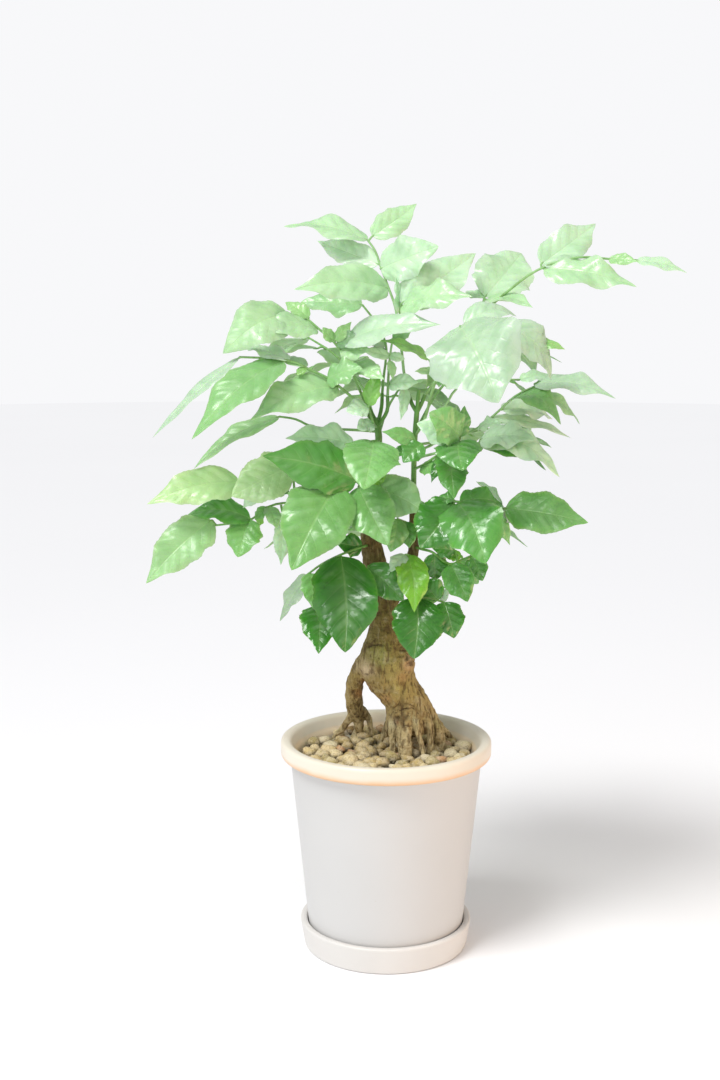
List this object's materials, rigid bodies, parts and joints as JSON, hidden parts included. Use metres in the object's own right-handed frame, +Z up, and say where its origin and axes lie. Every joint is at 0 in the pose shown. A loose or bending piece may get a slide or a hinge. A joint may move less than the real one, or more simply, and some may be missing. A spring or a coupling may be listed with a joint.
{
  "type": "potted heteropanax",
  "caption": "Small china doll tree with an arched root and glossy compound leaves, in a tapered white pot with a cream rim, pebble top and saucer.",
  "frame": {"origin": "centre of the saucer's underside, on the pot's axis", "axes": "+Z up along the pot's axis; -Y towards the front of the picture; +X to its right"},
  "size_m": [0.3868, 0.2774, 0.5616],
  "materials": {
    "saucer_white": "matte white, fine surface",
    "pot_glaze": "satin white glaze, cream rim shading to orange at its lower edge",
    "soil_dark": "dark crumbly potting mix",
    "gravel_pumice": "matte tan and brown pebbles",
    "trunk_bark": "dull olive tan bark with scars and pale root feet",
    "stem_green": "smooth green young stem",
    "leaf_pale": "satin pale green young leaf",
    "leaf_fresh": "waxy fresh green leaf",
    "leaf_deep": "glossy deep green leaf"
  },
  "bodies": {
    "root": {"saucer": "saucer_white", "pot": "pot_glaze", "soil": "soil_dark", "gravel": "gravel_pumice", "trunk": "trunk_bark", "stem_left": "stem_green", "stem_right": "stem_green", "frond_top": "leaf_pale", "frond_upper_left": "leaf_pale", "frond_right_top": "leaf_pale", "frond_centre_upper": "leaf_pale", "frond_right_front": "leaf_fresh", "frond_right_inner": "leaf_fresh", "frond_right_mid": "leaf_fresh", "frond_left_upper": "leaf_fresh", "frond_left_long": "leaf_fresh", "frond_left_wavy": "leaf_fresh", "sprig_left": "leaf_fresh", "sprig_centre": "leaf_fresh", "frond_centre_left": "leaf_fresh", "frond_centre_right": "leaf_fresh", "far_frond_1": "leaf_fresh", "far_frond_2": "leaf_fresh", "far_frond_3": "leaf_fresh", "leaf_lime": "leaf_fresh", "frond_right_k": "leaf_deep", "frond_left_broad": "leaf_deep", "frond_left_low": "leaf_deep", "frond_left_drop": "leaf_deep", "frond_right_low": "leaf_deep", "sprig_right": "leaf_deep", "frond_right_drop": "leaf_deep", "leaf_trunk": "leaf_deep", "sprig_middle": "leaf_deep", "far_frond_4": "leaf_deep", "far_frond_5": "leaf_deep", "far_frond_6": "leaf_deep", "far_frond_7": "leaf_deep", "far_frond_8": "leaf_deep"}
  },
  "joints": []
}
